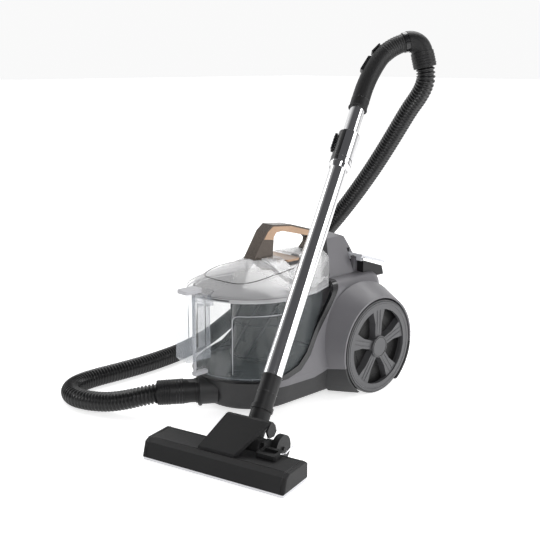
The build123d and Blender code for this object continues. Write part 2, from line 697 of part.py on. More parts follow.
GRIP_A = wand_at(608.4)
GRIP_B = arc_point(GRIP_A, BOW_R, 0, BOW_TURN)
GRIP_END = arc_point(GRIP_B, CROOK_R, BOW_TURN, BOW_TURN + CROOK_TURN)
END_DIR = W * math.cos(BOW_TURN + CROOK_TURN) + B * math.sin(BOW_TURN + CROOK_TURN)

with BuildPart() as handle_grip:
    with BuildLine() as grip_path:
        Line(wand_at(568), GRIP_A)
        ThreePointArc(GRIP_A, arc_point(GRIP_A, BOW_R, 0, BOW_TURN / 2), GRIP_B)
        ThreePointArc(GRIP_B, arc_point(GRIP_B, CROOK_R, BOW_TURN, BOW_TURN + CROOK_TURN / 2), GRIP_END)
    with BuildSketch(Plane(origin=wand_at(568), z_dir=W)):
        Circle(18.5)
    sweep(path=grip_path.line)
    with BuildSketch(Plane(origin=wand_at(568), z_dir=W)):
        Circle(14.6)
    sweep(path=grip_path.line, mode=Mode.SUBTRACT)
    add(wand_tube(560, 600, INNER_R, 0), mode=Mode.SUBTRACT)

with BuildPart() as grip_ring:
    add(rod(GRIP_END - END_DIR * 9, END_DIR, 21, 9, 19.1))

REG_TURN = math.radians(24)
REG_AT = arc_point(GRIP_B, CROOK_R, BOW_TURN, REG_TURN)
REG_DIR = W * math.cos(REG_TURN) + B * math.sin(REG_TURN)
REG_OUT = W * math.sin(REG_TURN) - B * math.cos(REG_TURN)
with BuildPart() as regulator:
    add(block((18.8, 22.6), (-8, 8), (-13, 13)).moved(Plane(origin=REG_AT, x_dir=REG_OUT, z_dir=REG_DIR).location))
    fillet(regulator.edges(), 1.2)

ELBOW_R = 26.0
HANG = Vector(0.2077, 0.1111, -0.9719).normalized()
ELBOW_A = GRIP_END + END_DIR * 0.4
ELBOW_N = (HANG - END_DIR * HANG.dot(END_DIR)).normalized()
ELBOW_M = ELBOW_A + END_DIR * (ELBOW_R * math.sin(math.pi / 4)) + ELBOW_N * (ELBOW_R * (1 - math.cos(math.pi / 4)))
ELBOW_B = ELBOW_A + END_DIR * ELBOW_R + ELBOW_N * ELBOW_R

with BuildPart() as hose_elbow:
    with BuildLine() as elbow_path:
        ThreePointArc(ELBOW_A, ELBOW_M, ELBOW_B)
    with BuildSketch(Plane(origin=ELBOW_A, z_dir=END_DIR)):
        Circle(22)
    sweep(path=elbow_path.line)
    with BuildSketch(Plane(origin=ELBOW_A, z_dir=END_DIR)):
        Circle(14.6)
    sweep(path=elbow_path.line, mode=Mode.SUBTRACT)
    add(rod(ELBOW_A - END_DIR * 8, END_DIR, 14.1, 8, 12.8))
    add(rod(ELBOW_A, END_DIR, 14.65, 2, 12.8))
    add(rod(ELBOW_B - ELBOW_N * 2, ELBOW_N, 14.8, 14, 12.8))

with BuildPart() as upper_cuff:
    add(rod(ELBOW_B + ELBOW_N * 0.3, ELBOW_N, 24, 32.7, 15))
    add(rod(ELBOW_B + ELBOW_N * 19, ELBOW_N, 22, 20), mode=Mode.SUBTRACT)
    fillet(upper_cuff.edges().filter_by(GeomType.CIRCLE).sort_by(SortBy.RADIUS)[-1:], 1.5)

save(handle_grip, "handle_grip")
save(grip_ring, "grip_ring")
save(regulator, "regulator")
save(hose_elbow, "hose_elbow")
save(upper_cuff, "upper_cuff")

# ---- suction hose: one real length, lying on the floor and rising to the handle
HOSE_POINTS = [
    tuple(port_at(106)), (-81, -331, 41), (-109, -354, 31), (-141, -373, 23), (-178, -391, 20.2), (-216, -402, 20.2),
    (-253, -391, 20.2), (-278, -361, 20.2), (-287, -316, 20.2), (-285, -262, 20.2), (-284, -202, 20.2), (-288, -140, 20.2),
    (-302, -55, 20.5), (-324, 36, 27), (-332, 120, 58), (-305, 192, 112), (-252, 240, 180), (-184, 268, 253),
    (-112, 281, 335), (-42, 285, 420), (8, 285.5, 486), (52, 283, 546), (80, 281, 584), (101, 278.5, 606),
    (118, 275.5, 628), tuple(ELBOW_B + ELBOW_N * 51), tuple(ELBOW_B + ELBOW_N * 26),
]


def bend_radii(points):
    """For each corner, the largest arc that leaves a tenth of the shorter run straight."""
    radii = []
    for a, b, c in zip(points, points[1:], points[2:]):
        u = Vector(*b) - Vector(*a)
        v = Vector(*c) - Vector(*b)
        turn = math.radians(u.get_angle(v))
        radii.append(0.45 * min(u.length, v.length) / math.tan(turn / 2))
    return radii


HOSE_RADII = bend_radii(HOSE_POINTS)
with BuildPart() as suction_hose:
    with BuildLine() as hose_path:
        FilletPolyline(*HOSE_POINTS, radius=HOSE_RADII)
    with BuildSketch(Plane(origin=hose_path.line @ 0, z_dir=hose_path.line % 0)):
        Circle(HOSE_R)
    sweep(path=hose_path.line)
    with BuildSketch(Plane(origin=hose_path.line @ 0, z_dir=hose_path.line % 0)):
        Circle(HOSE_BORE_R)
    sweep(path=hose_path.line, mode=Mode.SUBTRACT)
save(suction_hose, "suction_hose")

# ---- floor head
HEAD = Plane(origin=(225.6, -410.7, 0), x_dir=(math.cos(math.radians(HEAD_YAW)), math.sin(math.radians(HEAD_YAW)), 0),
             z_dir=(0, 0, 1))
HEAD_AT = HEAD.location
W_HEAD = HEAD.to_local_coords(wand_at(1)) - HEAD.to_local_coords(wand_at(0))
PIVOT_AT = HEAD.to_local_coords(wand_at(-142))
PX, PY, PZ = PIVOT_AT.X, PIVOT_AT.Y, PIVOT_AT.Z

with BuildPart() as shell_local:
    with BuildSketch(Plane.YZ.offset(-140.8)):
        with BuildLine():
            Polyline((0, 5.2), (8, 32), (18, 37), (72, 37), (79, 32), (79, 5.2), close=True)
        make_face()
    extrude(amount=273.6)
    with BuildSketch(Plane.YZ.offset(-137)):
        with BuildLine():
            Polyline((4, 4), (11, 29), (20, 33.5), (69, 33.5), (75.5, 30), (75.5, 4), close=True)
        make_face()
    extrude(amount=266, mode=Mode.SUBTRACT)
    for near in ((PX - 32, PX - 26), (PX + 26, PX + 32)):
        add(side_prism([(74, 10), (74, PZ + 14), (PY + 14, PZ + 14), (PY + 46, 34), (PY + 46, 15), (PY + 20, 10)], near=near))
    for side in (-1, 1):
        add(rod((PX + side * 30, PY + 37, 25.2), (side, 0, 0), 4, 18))
    add(rod((PX - 40, PY, PZ), (1, 0, 0), 5.06, 80), mode=Mode.SUBTRACT)
    add(rod((PX - 25.5, PY, PZ), (1, 0, 0), 19.5, 51), mode=Mode.SUBTRACT)
with BuildPart() as head_shell:
    add(shell_local.part.moved(HEAD_AT))

with BuildPart() as caps_local:
    for x in (-149, 133):
        with BuildSketch(Plane.YZ.offset(x)):
            with BuildLine():
                Polyline((0, 5.2), (8, 32), (18, 37), (72, 37), (79, 32), (79, 5.2), close=True)
            make_face()
        extrude(amount=8)
    fillet(caps_local.faces().sort_by(Axis.X)[0].edges(), 3)
    fillet(caps_local.faces().sort_by(Axis.X)[-1].edges(), 3)
with BuildPart() as head_end_caps:
    add(caps_local.part.moved(HEAD_AT))

with BuildPart() as sole_local:
    add(block((-147, 139), (1, 78), (0, 5)))
    add(block((-106, 98), (30, 50), (-5, 10)), mode=Mode.SUBTRACT)
    add(block((-121, 113), (11, 17), (-5, 10)), mode=Mode.SUBTRACT)
    add(block((-121, 113), (63, 69), (-5, 10)), mode=Mode.SUBTRACT)
with BuildPart() as sole_plate:
    add(sole_local.part.moved(HEAD_AT))

with BuildPart() as brush_local:
    add(block((-119, 111), (12, 16), (1, 16)))
    add(block((-119, 111), (64, 68), (1, 16)))
    add(block((-60, -56), (12, 68), (12, 16)))
    add(block((60, 64), (12, 68), (12, 16)))
with BuildPart() as brush_strips:
    add(brush_local.part.moved(HEAD_AT))

with BuildPart() as neck_local:
    add(rod(tuple(PIVOT_AT + W_HEAD * 63.6), tuple(W_HEAD * -1), 18.5, 63.6))
    add(rod((PX - 25.2, PY, PZ), (1, 0, 0), 18, 50.4))
    add(rod((PX - 32, PY, PZ), (1, 0, 0), 5, 64))
    add(rod(tuple(PIVOT_AT + W_HEAD * 80), tuple(W_HEAD * -1), 15, 68), mode=Mode.SUBTRACT)

with BuildPart() as neck_elbow:
    add(neck_local.part.moved(HEAD_AT))

with BuildPart() as head_wheel_left:
    add(rod((PX - 45, PY + 37, 25.2), (1, 0, 0), 25, 12, 4.05).moved(HEAD_AT))
with BuildPart() as head_wheel_right:
    add(rod((PX + 33, PY + 37, 25.2), (1, 0, 0), 25, 12, 4.05).moved(HEAD_AT))

ROCKER = [(20, 38.2), (22, 42), (80, 85.5), (85, 86.6), (88, 83.6), (86, 81.5), (82, 80.5), (30, 40), (28, 38.2)]
with BuildPart() as rocker_local:
    with BuildSketch(Plane.XY.offset(30)):
        with BuildLine():
            Polyline((-43, 20), (30, 20), (66, 84), (66, 110), (-22, 110), (-22, 84), close=True)
        make_face()
    extrude(amount=70)
    add(side_prism(ROCKER), mode=Mode.INTERSECT)
    add(rod((-41, 22, 39), (1, 0, 0), 1.5, 70))
    for x in ((-22, -18), (62, 66)):
        add(side_prism([(72, 72), (84, 85), (90, 84), (98, 76), (102, 64), (94, 56), (78, 58)], near=x))
with BuildPart() as rocker_pedal:
    add(rocker_local.part.moved(HEAD_AT))

with BuildPart() as hook_local:
    add(block((60, 98), (42, 73), (37.1, 46)))
    fillet(hook_local.edges().filter_by(Axis.Z), 4)
    add(block((66, 92), (50, 66), (41, 50)), mode=Mode.SUBTRACT)
with BuildPart() as hook_block:
    add(hook_local.part.moved(HEAD_AT))

with BuildPart() as wire_clip:
    with BuildLine() as wire_path:
        FilletPolyline((92.5, 58, 43.5), (104, 66, 43.5), (106, 90, 50), radius=5)
    with BuildSketch(Plane(origin=wire_path.line @ 0, z_dir=wire_path.line % 0)):
        Circle(1.1)
    sweep(path=wire_path.line)
with BuildPart() as park_wire:
    add(wire_clip.part.moved(HEAD_AT))

save(head_shell, "head_shell")
save(head_end_caps, "head_end_caps")
save(sole_plate, "sole_plate")
save(brush_strips, "brush_strips")
save(neck_elbow, "neck_elbow")
save(head_wheel_left, "head_wheel_left")
save(head_wheel_right, "head_wheel_right")
save(rocker_pedal, "rocker_pedal")
save(hook_block, "hook_block")
save(park_wire, "park_wire")
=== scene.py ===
import bpy
import bmesh
import math
from mathutils import Matrix, Vector


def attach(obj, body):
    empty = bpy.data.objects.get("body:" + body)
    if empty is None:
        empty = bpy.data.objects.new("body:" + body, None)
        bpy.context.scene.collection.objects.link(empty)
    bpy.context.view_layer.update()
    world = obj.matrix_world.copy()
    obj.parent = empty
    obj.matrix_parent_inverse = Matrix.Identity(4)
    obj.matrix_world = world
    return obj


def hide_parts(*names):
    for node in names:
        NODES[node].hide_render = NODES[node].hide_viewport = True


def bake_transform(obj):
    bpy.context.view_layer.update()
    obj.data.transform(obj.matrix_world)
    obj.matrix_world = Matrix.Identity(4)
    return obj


# Canister vacuum cleaner: materials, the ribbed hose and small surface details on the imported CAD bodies.
# Metres, +Z up, the canister's front towards -Y. Outlines and routes that say so are in millimetres.

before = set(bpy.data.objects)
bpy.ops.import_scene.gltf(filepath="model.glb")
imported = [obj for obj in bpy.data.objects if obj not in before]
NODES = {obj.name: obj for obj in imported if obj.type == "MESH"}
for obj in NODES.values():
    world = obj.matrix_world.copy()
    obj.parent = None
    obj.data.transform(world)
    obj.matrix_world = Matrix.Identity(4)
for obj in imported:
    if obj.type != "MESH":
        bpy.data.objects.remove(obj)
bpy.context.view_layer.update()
scene = bpy.context.scene

MM = 1000  # millimetres in a metre
UP = (0, 0, 1)
HANDS = (("left", -1), ("right", 1))  # as seen from the front, so left is -X

# ---- materials
BUMP_DEPTH = 0.0006  # metres, at a bump of 1
ROUGH_SPREAD = 0.07  # how far the texture moves the roughness each way
POLISHED = 0.2  # below this roughness the soft patches move it, because fine grain would sparkle
COAT_ROUGH = 0.06
LIGHT_LIFT = 0.004  # keeps the light patches apart from the dark ones on near-black plastic


def material(name, color, rough=0.4, vary=0.12, bump=0.05, grain=900.0, metallic=0.0, coat=0.0, alpha=1.0,
             ior=1.46, patch=18.0):
    """A procedural material: large soft colour patches, fine grain in roughness and bump."""
    m = bpy.data.materials.new(name)
    m.use_nodes = True
    t = m.node_tree
    b = t.nodes["Principled BSDF"]
    at = t.nodes.new("ShaderNodeTexCoord")

    def noise(scale, detail):
        n = t.nodes.new("ShaderNodeTexNoise")
        n.inputs["Scale"].default_value = scale
        n.inputs["Detail"].default_value = detail
        t.links.new(at.outputs["Object"], n.inputs["Vector"])
        return n

    big, fine = noise(patch, 4.0), noise(grain, 2.0)
    mix = t.nodes.new("ShaderNodeMix")
    mix.data_type = "RGBA"
    dark = [c * (1 - vary) for c in color]
    light = [min(1.0, c * (1 + vary) + LIGHT_LIFT) for c in color]
    mix.inputs["A"].default_value = (*dark, 1)
    mix.inputs["B"].default_value = (*light, 1)
    t.links.new(big.outputs["Fac"], mix.inputs["Factor"])
    t.links.new(mix.outputs["Result"], b.inputs["Base Color"])
    rr = t.nodes.new("ShaderNodeMapRange")
    rr.inputs["To Min"].default_value = max(0.02, rough - ROUGH_SPREAD)
    rr.inputs["To Max"].default_value = min(1.0, rough + ROUGH_SPREAD)
    t.links.new((big if rough < POLISHED else fine).outputs["Fac"], rr.inputs["Value"])
    t.links.new(rr.outputs["Result"], b.inputs["Roughness"])
    bm = t.nodes.new("ShaderNodeBump")
    bm.inputs["Strength"].default_value = bump
    bm.inputs["Distance"].default_value = BUMP_DEPTH
    t.links.new(fine.outputs["Fac"], bm.inputs["Height"])
    t.links.new(bm.outputs["Normal"], b.inputs["Normal"])
    b.inputs["Metallic"].default_value = metallic
    b.inputs["Coat Weight"].default_value = coat
    b.inputs["Coat Roughness"].default_value = COAT_ROUGH
    b.inputs["IOR"].default_value = ior
    b.inputs["Alpha"].default_value = alpha
    return m


# black plastics, from matt to glossy
MATT = material("matt_black", (0.024, 0.024, 0.025), 0.5, bump=0.25, grain=1400, ior=1.38)
HEADM = material("head_black", (0.011, 0.011, 0.0115), 0.5, bump=0.3, grain=1500, ior=1.33)
SOFTBLACK = material("handle_black", (0.009, 0.009, 0.0095), 0.45, bump=0.2, grain=1600, ior=1.33)
HOSE = material("hose_black", (0.006, 0.006, 0.0065), 0.3, bump=0.05, ior=1.42)
GLOSS = material("gloss_black", (0.006, 0.006, 0.007), 0.22, bump=0.02, coat=0.25)
CYCLONE = material("cyclone_dark", (0.012, 0.011, 0.009), 0.34, vary=0.3, bump=0.005, patch=25)
WELL = material("wheel_dark", (0.007, 0.007, 0.007), 0.5, bump=0.1)

# grey and pale plastics
GREY = material("satin_grey", (0.128, 0.125, 0.134), 0.36, vary=0.06, bump=0.08, grain=1500)
WHEELM = material("wheel_grey", (0.078, 0.078, 0.082), 0.38, vary=0.06, bump=0.1, grain=1300)
LIGHT = material("light_grey", (0.42, 0.42, 0.44), 0.35, vary=0.05, bump=0.05)
PEDAL = material("pedal_plastic", (0.6, 0.61, 0.64), 0.2, vary=0.04, bump=0.02, coat=0.3)

# see-through plastics
CLEAR = material("smoked_clear", (0.20, 0.225, 0.235), 0.05, vary=0.06, bump=0.005, alpha=0.14, coat=1.0,
                 patch=9)
CLEARH = material("clear_handle", (0.42, 0.45, 0.49), 0.08, vary=0.06, bump=0.01, alpha=0.3, coat=1.0,
                  patch=12)
MILKY = material("milky_lid", (0.62, 0.62, 0.63), 0.14, vary=0.05, bump=0.01, alpha=0.4, coat=1.0, patch=8)

# metals and metallic paint
COPPER = material("copper_plastic", (0.34, 0.22, 0.14), 0.3, vary=0.15, bump=0.03, metallic=0.5, coat=0.3)
BRONZE = material("dark_bronze", (0.05, 0.036, 0.026), 0.26, vary=0.2, bump=0.03, metallic=0.5, coat=0.3)
CHROME = material("chrome", (0.80, 0.80, 0.81), 0.08, vary=0.02, bump=0.004, metallic=1.0, patch=6)
METAL = material("cast_metal", (0.5, 0.5, 0.52), 0.35, metallic=1.0)
STEEL = material("steel", (0.6, 0.6, 0.62), 0.25, metallic=1.0)

# rubber, paper, bristles and the circuit board
TYRE = material("tyre", (0.062, 0.062, 0.064), 0.55, bump=0.3)
RUBBER = material("seal_rubber", (0.03, 0.03, 0.03), 0.6)
PAPER = material("filter_paper", (0.75, 0.74, 0.7), 0.8, bump=0.3)
BRISTLE = material("bristle", (0.05, 0.05, 0.055), 0.7, bump=0.5)
BOARD = material("board", (0.03, 0.16, 0.06), 0.4)

LOOK = dict(
    # canister
    base_tray=MATT, motor_housing=GREY, spine_cover=GREY, bin_arch_trim=GLOSS, exhaust_grille=MATT,
    hepa_filter=PAPER, motor=METAL, fan_housing=MATT, impeller=METAL, cord_reel=MATT, cord_outlet=RUBBER,
    switch_module=MATT, control_board=BOARD, outlet_duct=MATT, axle_pins=STEEL, hose_inlet=MATT,
    inlet_duct=MATT, power_pedal=PEDAL, rewind_pedal=PEDAL, wheel_left=WHEELM, wheel_right=WHEELM,
    tyre_left=TYRE, tyre_right=TYRE, caster_fork=MATT, caster_wheel=WHEELM,
    # dust bin and lid
    bin_shell=CLEAR, bin_flap=CLEAR, cyclone_cone=CYCLONE, shroud_filter=CYCLONE, front_handle=CLEARH,
    empty_button=LIGHT, bin_lid=MILKY, lid_seal=RUBBER, premotor_filter=PAPER, carry_handle=BRONZE,
    handle_inlay=BRONZE, release_button=COPPER,
    # hose ends and wand
    hose_connector=SOFTBLACK, lower_cuff=SOFTBLACK, outer_tube=CHROME, tube_sleeve=CHROME,
    neck_pipe=SOFTBLACK, tube_latch=GLOSS, inner_tube=CHROME, handle_grip=SOFTBLACK, grip_ring=GLOSS,
    regulator=GLOSS, hose_elbow=SOFTBLACK, upper_cuff=SOFTBLACK,
    # floor head
    neck_elbow=HEADM, head_shell=HEADM, head_end_caps=HEADM, sole_plate=STEEL, hook_block=HEADM,
    park_wire=STEEL, rocker_pedal=HEADM, brush_strips=BRISTLE, head_wheel_left=SOFTBLACK,
    head_wheel_right=SOFTBLACK)
for node, look in LOOK.items():
    NODES[node].data.materials.clear()
    NODES[node].data.materials.append(look)

# ---- places and directions that the CAD uses too
PORT = Vector((0, -0.215, 0.048))  # the hose socket in the canister's nose
PORT_DIR = Vector((-0.545, -0.838, 0))  # the way the connector points
WAND_FOOT = Vector((0.202, -0.242, 0.146))  # the lower end of the chrome tube
W = Vector((-0.197, 0.5969, 0.7778)).normalized()  # up along the wand
B = Vector((0.7832, 0.573, -0.2414)).normalized()  # square to the wand, the way its handle bends
HANDLE_TURN = math.radians(57.7)  # the whole bend of the handle
END_DIR = W * math.cos(HANDLE_TURN) + B * math.sin(HANDLE_TURN)  # the handle's line at its end
ELBOW_B = Vector((0.117073, 0.267267, 0.702535))  # where the upper cuff starts on the elbow
HANG = Vector((0.2077, 0.1111, -0.9719)).normalized()  # roughly where the hose hangs
ELBOW_N = (HANG - END_DIR * HANG.dot(END_DIR)).normalized()  # the cuff's axis, square to END_DIR


def port_at(t):
    """A point on the connector's axis."""
    return PORT + PORT_DIR * t


def wand_at(s):
    """A point on the wand's axis, from the tube's lower end."""
    return WAND_FOOT + W * s


def elbow_at(t):
    """A point on the upper cuff's axis."""
    return ELBOW_B + ELBOW_N * t


# ---- mesh helpers
def new_mesh(name, verts, faces, look, smooth=True):
    """An object from vertices and faces, with one material."""
    mesh = bpy.data.meshes.new(name)
    mesh.from_pydata([tuple(v) for v in verts], [], faces)
    mesh.validate()
    o = bpy.data.objects.new(name, mesh)
    scene.collection.objects.link(o)
    mesh.materials.append(look)
    if smooth:
        for f in mesh.polygons:
            f.use_smooth = True
    return o


def spline_points(points, steps):
    """The points of one NURBS curve through control points in millimetres."""
    c = bpy.data.curves.new("route", "CURVE")
    c.dimensions = "3D"
    s = c.splines.new("NURBS")
    s.points.add(len(points) - 1)
    for p, q in zip(s.points, points):
        p.co = (q[0] / MM, q[1] / MM, q[2] / MM, 1)
    s.order_u = 3
    s.use_endpoint_u = True
    s.resolution_u = steps
    o = bpy.data.objects.new("route", c)
    scene.collection.objects.link(o)
    bpy.context.view_layer.update()
    mesh = bpy.data.meshes.new_from_object(o.evaluated_get(bpy.context.evaluated_depsgraph_get()))
    points_on_curve = [v.co.copy() for v in mesh.vertices]
    bpy.data.objects.remove(o)
    return points_on_curve


def resample(line, step):
    """The same line with points at an even spacing."""
    total = sum((b - a).length for a, b in zip(line, line[1:]))
    count = max(2, round(total / step))
    out, i, walked = [line[0]], 0, 0.0
    for k in range(1, count):
        want = total * k / count
        while walked + (line[i + 1] - line[i]).length < want:
            walked += (line[i + 1] - line[i]).length
            i += 1
        f = (want - walked) / (line[i + 1] - line[i]).length
        out.append(line[i].lerp(line[i + 1], f))
    return out + [line[-1]]


def tube(name, line, radius_at, look, sides=28):
    """A mesh tube along a line, with a radius for each ring, open at both ends."""
    verts, faces = [], []
    up = Vector((0.3, 0.2, 1)).normalized()
    for k, p in enumerate(line):
        d = (line[min(k + 1, len(line) - 1)] - line[max(k - 1, 0)]).normalized()
        up = (up - d * up.dot(d)).normalized()
        side = d.cross(up)
        r = radius_at(k)
        for j in range(sides):
            a = 2 * math.pi * j / sides
            verts.append(p + (up * math.cos(a) + side * math.sin(a)) * r)
    for k in range(len(line) - 1):
        for j in range(sides):
            a, b = k * sides + j, k * sides + (j + 1) % sides
            faces.append((a, b, b + sides, a + sides))
    return new_mesh(name, verts, faces, look)


def frame_of(axis):
    """An axis of length 1 and two directions square to it."""
    axis = Vector(axis).normalized()
    side = axis.cross(Vector(UP) if abs(axis.z) < 0.9 else Vector((1, 0, 0))).normalized()
    return axis, side, axis.cross(side)


def torus(name, centre, axis, major, minor, look, body, seg=56, ring=10):
    """A ring round an axis, riding on a body."""
    axis, side, other = frame_of(axis)
    verts, faces = [], []
    for k in range(seg):
        t = 2 * math.pi * k / seg
        out = side * math.cos(t) + other * math.sin(t)
        for j in range(ring):
            u = 2 * math.pi * j / ring
            verts.append(Vector(centre) + out * (major + minor * math.cos(u))
                         + axis * (minor * math.sin(u)))
    for k in range(seg):
        k2 = (k + 1) % seg
        for j in range(ring):
            j2 = (j + 1) % ring
            faces.append((k * ring + j, k2 * ring + j, k2 * ring + j2, k * ring + j2))
    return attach(new_mesh(name, verts, faces, look), body)


def rings(name, count, at, first, pitch, axis, radius, thick, look, body, shrink=0.0):
    """Rings at an even pitch along an axis, numbered from 0, each smaller than the last by shrink."""
    for k in range(count):
        torus(f"{name}_{k}", at(first + pitch * k), axis, radius - shrink * k, thick, look, body)


def disc(name, centre, axis, inner, outer, look, body, seg=72):
    """A flat ring."""
    axis, side, other = frame_of(axis)
    verts, faces = [], []
    for k in range(seg):
        t = 2 * math.pi * k / seg
        out = side * math.cos(t) + other * math.sin(t)
        verts += [Vector(centre) + out * inner, Vector(centre) + out * outer]
    for k in range(seg):
        a, b = 2 * k, 2 * ((k + 1) % seg)
        faces.append((a, b, b + 1, a + 1))
    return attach(new_mesh(name, verts, faces, look), body)


def bar(name, points, radius, look, body, sides=10):
    """A thin bar that follows a line, narrowed to half its radius at its ends."""
    last = len(points) - 1
    o = tube(name, [Vector(p) for p in points], lambda k: radius if 0 < k < last else radius * 0.5, look,
             sides)
    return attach(o, body)


def cross_rib(name, centre, side, half, radius, look, body):
    """A short bar across a part, full for 2 mm each way from its middle."""
    full = 0.002
    bar(name, [centre - side * half, centre - side * full, centre + side * full, centre + side * half],
        radius, look, body)


def slab(name, corners, look, body, bevel):
    """A block from its eight corners: four below, four above, in the same order."""
    faces = [(0, 3, 2, 1), (4, 5, 6, 7), (0, 1, 5, 4), (1, 2, 6, 5), (2, 3, 7, 6), (3, 0, 4, 7)]
    o = new_mesh(name, corners, faces, look, smooth=False)
    bm = bmesh.new()
    bm.from_mesh(o.data)
    bmesh.ops.bevel(bm, geom=bm.edges[:], offset=bevel, segments=2, affect="EDGES", clamp_overlap=True)
    bm.to_mesh(o.data)
    bm.free()
    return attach(o, body)


def plate(name, outline, x0, x1, look, body):
    """A flat plate across X from a (y, z) outline in millimetres."""
    n = len(outline)
    verts = [Vector((x, y / MM, z / MM)) for x in (x0, x1) for y, z in outline]
    faces = [tuple(range(n))[::-1], tuple(range(n, 2 * n))]
    faces += [(k, (k + 1) % n, n + (k + 1) % n, n + k) for k in range(n)]
    o = new_mesh(name, verts, faces, look, smooth=False)
    bm = bmesh.new()
    bm.from_mesh(o.data)
    bmesh.ops.recalc_face_normals(bm, faces=bm.faces[:])
    bm.to_mesh(o.data)
    bm.free()
    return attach(o, body)


# ---- suction hose: the wand's end hangs from the cuff, the other end lies on the floor
# Control points in millimetres: out of the connector and down to the floor, the U-turn, back beside the
# canister, and the arch behind it up into the handle's cuff.
HOSE_POINTS = [
    tuple(port_at(0.106) * MM), (-81, -331, 41), (-109, -354, 31), (-141, -373, 23), (-178, -391, 20.2),
    (-216, -402, 20.2), (-253, -391, 20.2), (-278, -361, 20.2), (-287, -316, 20.2), (-285, -262, 20.2),
    (-284, -202, 20.2), (-288, -140, 20.2), (-302, -55, 20.5), (-324, 36, 27), (-332, 120, 58),
    (-305, 192, 112), (-252, 240, 180), (-184, 268, 253), (-112, 281, 335), (-42, 285, 420), (8, 285.5, 486),
    (52, 283, 546), (80, 281, 584), (101, 278.5, 606), (118, 275.5, 628), tuple(elbow_at(0.051) * MM),
    tuple(elbow_at(0.026) * MM),
]
RIB_PITCH = 0.0074
RIB = [0.0164, 0.0172, 0.0196, 0.02, 0.0196, 0.0172]  # the radii of one rib, from groove to groove
line = resample(spline_points(HOSE_POINTS, 24), RIB_PITCH / len(RIB))
hose = tube("suction_hose_ribbed", line, lambda k: RIB[k % len(RIB)], HOSE)
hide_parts("suction_hose")
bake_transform(hose)

# ---- hose ends: grooves and ribs on the connector's cuff, ribs on the upper cuff, the socket's lip
rings("cuff_groove", 3, port_at, 0.064, 0.006, PORT_DIR, 0.0248, 0.0006, GLOSS, "canister")
rings("cuff_rib", 5, port_at, 0.088, 0.0048, PORT_DIR, 0.0243, 0.0012, SOFTBLACK, "canister", shrink=0.0001)
rings("upper_cuff_rib", 4, elbow_at, 0.010, 0.0055, ELBOW_N, 0.0239, 0.0011, SOFTBLACK, "hose_swivel")
torus("inlet_lip", port_at(0.0305), PORT_DIR, 0.0285, 0.0016, SOFTBLACK, "canister")

# ---- wand: collars, as name, place along the wand, ring radius, thickness, material and body
WAND_RINGS = (
    ("sleeve_top_lip", 0.5055, 0.0205, 0.0008, GLOSS, "canister"),
    ("sleeve_low_lip", 0.436, 0.0209, 0.0008, GLOSS, "canister"),
    ("sleeve_mid_line", 0.447, 0.0209, 0.0008, GLOSS, "canister"),
    ("neck_socket_line", -0.0125, 0.0178, 0.0008, GLOSS, "canister"),
    ("neck_line", -0.045, 0.0179, 0.0006, GLOSS, "canister"),
    ("grip_foot_lip", 0.5695, 0.0184, 0.0012, SOFTBLACK, "wand_upper"),
    ("grip_foot_line", 0.590, 0.0184, 0.0006, GLOSS, "wand_upper"),
)
for name, place, radius, thick, look, body in WAND_RINGS:
    torus(name, wand_at(place), W, radius, thick, look, body)

# grip ribs across the latch
LATCH_FACE = 0.0272  # from the wand's axis
CROSS = W.cross(B)
for k in range(5):
    cross_rib(f"latch_rib_{k}", wand_at(0.467 + 0.0065 * k) - B * LATCH_FACE, CROSS, 0.0055, 0.0009,
              SOFTBLACK, "tube_latch")

# ---- handle: its centre line is two arcs that bend from the wand's line towards B
GRIP_A = wand_at(0.6084)  # where the first arc starts
WIDE_BEND = 0.350
TIGHT_BEND = 0.1049
BEND_CHANGE = math.radians(14.5)  # the turn at which the second arc takes over


def arc_point(start, radius, t0, t1):
    """The end of an arc that starts at a turn of t0 from the wand's line and ends at t1."""
    return (start + W * (radius * (math.sin(t1) - math.sin(t0)))
            - B * (radius * (math.cos(t1) - math.cos(t0))))


def grip_along(t):
    """The handle's direction at one turn."""
    return W * math.cos(t) + B * math.sin(t)


def grip_out(t):
    """The direction out of the handle's upper face at one turn."""
    return W * math.sin(t) - B * math.cos(t)


GRIP_B = arc_point(GRIP_A, WIDE_BEND, 0, BEND_CHANGE)
for k in range(9):
    t = math.radians(26 + 3.1 * k)
    torus(f"grip_rib_{k}", arc_point(GRIP_B, TIGHT_BEND, BEND_CHANGE, t), grip_along(t), 0.0183, 0.0009,
          RUBBER, "wand_upper")

# ribs across the air regulator's slider
SLIDER_TURN = math.radians(24)
SLIDER_FACE = 0.0226  # from the handle's centre line
slider = arc_point(GRIP_B, TIGHT_BEND, BEND_CHANGE, SLIDER_TURN) + grip_out(SLIDER_TURN) * SLIDER_FACE
along = grip_along(SLIDER_TURN)
for k in range(4):
    cross_rib(f"regulator_rib_{k}", slider + along * (0.0035 * (k - 1.5)), along.cross(B), 0.006, 0.0007,
              GLOSS, "regulator")


def grip_pad():
    """The black pad on the grip below the slider: wide at its foot, cut back at its top."""
    turn = math.radians(11.9)
    middle = arc_point(GRIP_A, WIDE_BEND, 0, turn)
    along, out = grip_along(turn), grip_out(turn)
    side = along.cross(out)
    low, high, half = -0.026, 0.014, 0.008
    corners = []
    for rise, cut in ((0.0155, 0.0), (0.0228, 0.0014)):
        for u, v in ((low, -half), (high, -half), (high, half), (low, half)):
            corners.append(middle + along * (u - math.copysign(cut, u))
                           + side * (v - math.copysign(cut, v)) + out * rise)
    slab("grip_pad", corners, GLOSS, "wand_upper", 0.001)


